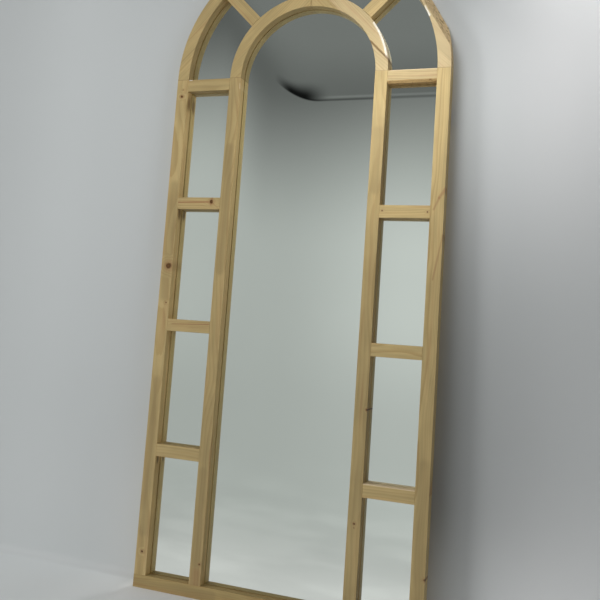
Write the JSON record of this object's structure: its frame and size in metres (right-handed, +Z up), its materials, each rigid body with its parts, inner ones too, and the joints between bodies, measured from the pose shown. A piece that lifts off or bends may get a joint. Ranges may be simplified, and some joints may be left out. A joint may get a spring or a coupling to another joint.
{
  "type": "arched window mirror",
  "caption": "Tall arched pine window mirror with a glazing-bar lattice and fan over one mirror sheet, leaning or hung by its rear ring hangers.",
  "frame": {"origin": "on the floor, under the middle of the bottom rail, half way through the frame's depth", "axes": "+X to the viewer's right, +Y from the room into the wall, +Z up"},
  "size_m": [0.8, 0.041, 1.834],
  "materials": {
    "pine": "planed and lightly sanded, unfinished, fine straight grain with small knots",
    "dowel_wood": "plain beech",
    "mirror": "silvered clear glass with ground edges",
    "hardboard": "smooth brown hardboard",
    "zinc_plated_steel": "bright zinc plate",
    "spring_steel": "thin spring steel"
  },
  "bodies": {
    "mirror_frame": {"backing_board": "hardboard", "backing_tab_arch_left_1": "spring_steel", "backing_tab_arch_left_2": "spring_steel", "backing_tab_arch_right_1": "spring_steel", "backing_tab_arch_right_2": "spring_steel", "backing_tab_bottom_left": "spring_steel", "backing_tab_bottom_right": "spring_steel", "backing_tab_left_1": "spring_steel", "backing_tab_left_2": "spring_steel", "backing_tab_left_3": "spring_steel", "backing_tab_right_1": "spring_steel", "backing_tab_right_2": "spring_steel", "backing_tab_right_3": "spring_steel", "bottom_rail": "pine", "crossbar_left_lower": "pine", "crossbar_left_middle": "pine", "crossbar_left_upper": "pine", "crossbar_right_lower": "pine", "crossbar_right_middle": "pine", "crossbar_right_upper": "pine", "dowel_inner_crown": "dowel_wood", "dowel_inner_springing_left": "dowel_wood", "dowel_inner_springing_right": "dowel_wood", "dowel_outer_crown": "dowel_wood", "dowel_outer_springing_left": "dowel_wood", "dowel_outer_springing_right": "dowel_wood", "hanger_screw_left_lower": "zinc_plated_steel", "hanger_screw_left_upper": "zinc_plated_steel", "hanger_screw_right_lower": "zinc_plated_steel", "hanger_screw_right_upper": "zinc_plated_steel", "hanger_strap_left": "zinc_plated_steel", "hanger_strap_right": "zinc_plated_steel", "inner_arch_left": "pine", "inner_arch_right": "pine", "inner_arch_right_crown": "pine", "inner_arch_right_foot": "pine", "inner_stile_left": "pine", "inner_stile_right": "pine", "mirror_sheet": "mirror", "outer_arch_left": "pine", "outer_arch_right": "pine", "outer_stile_left": "pine", "outer_stile_right": "pine", "radial_bar_left": "pine", "radial_bar_right": "pine", "spring_rail_left": "pine", "spring_rail_right": "pine"},
    "left_ring": {"hanger_ring_left": "zinc_plated_steel"},
    "right_ring": {"hanger_ring_right": "zinc_plated_steel"}
  },
  "joints": [
    {"name": "left_ring_swing", "type": "hinge", "parent": "mirror_frame", "child": "left_ring", "pos_m": [-0.388, 0.0205, 1.33], "axis": [1, 0, 0], "range_deg": [0, 180]},
    {"name": "right_ring_swing", "type": "hinge", "parent": "mirror_frame", "child": "right_ring", "pos_m": [0.388, 0.0205, 1.33], "axis": [1, 0, 0], "range_deg": [0, 180]}
  ]
}
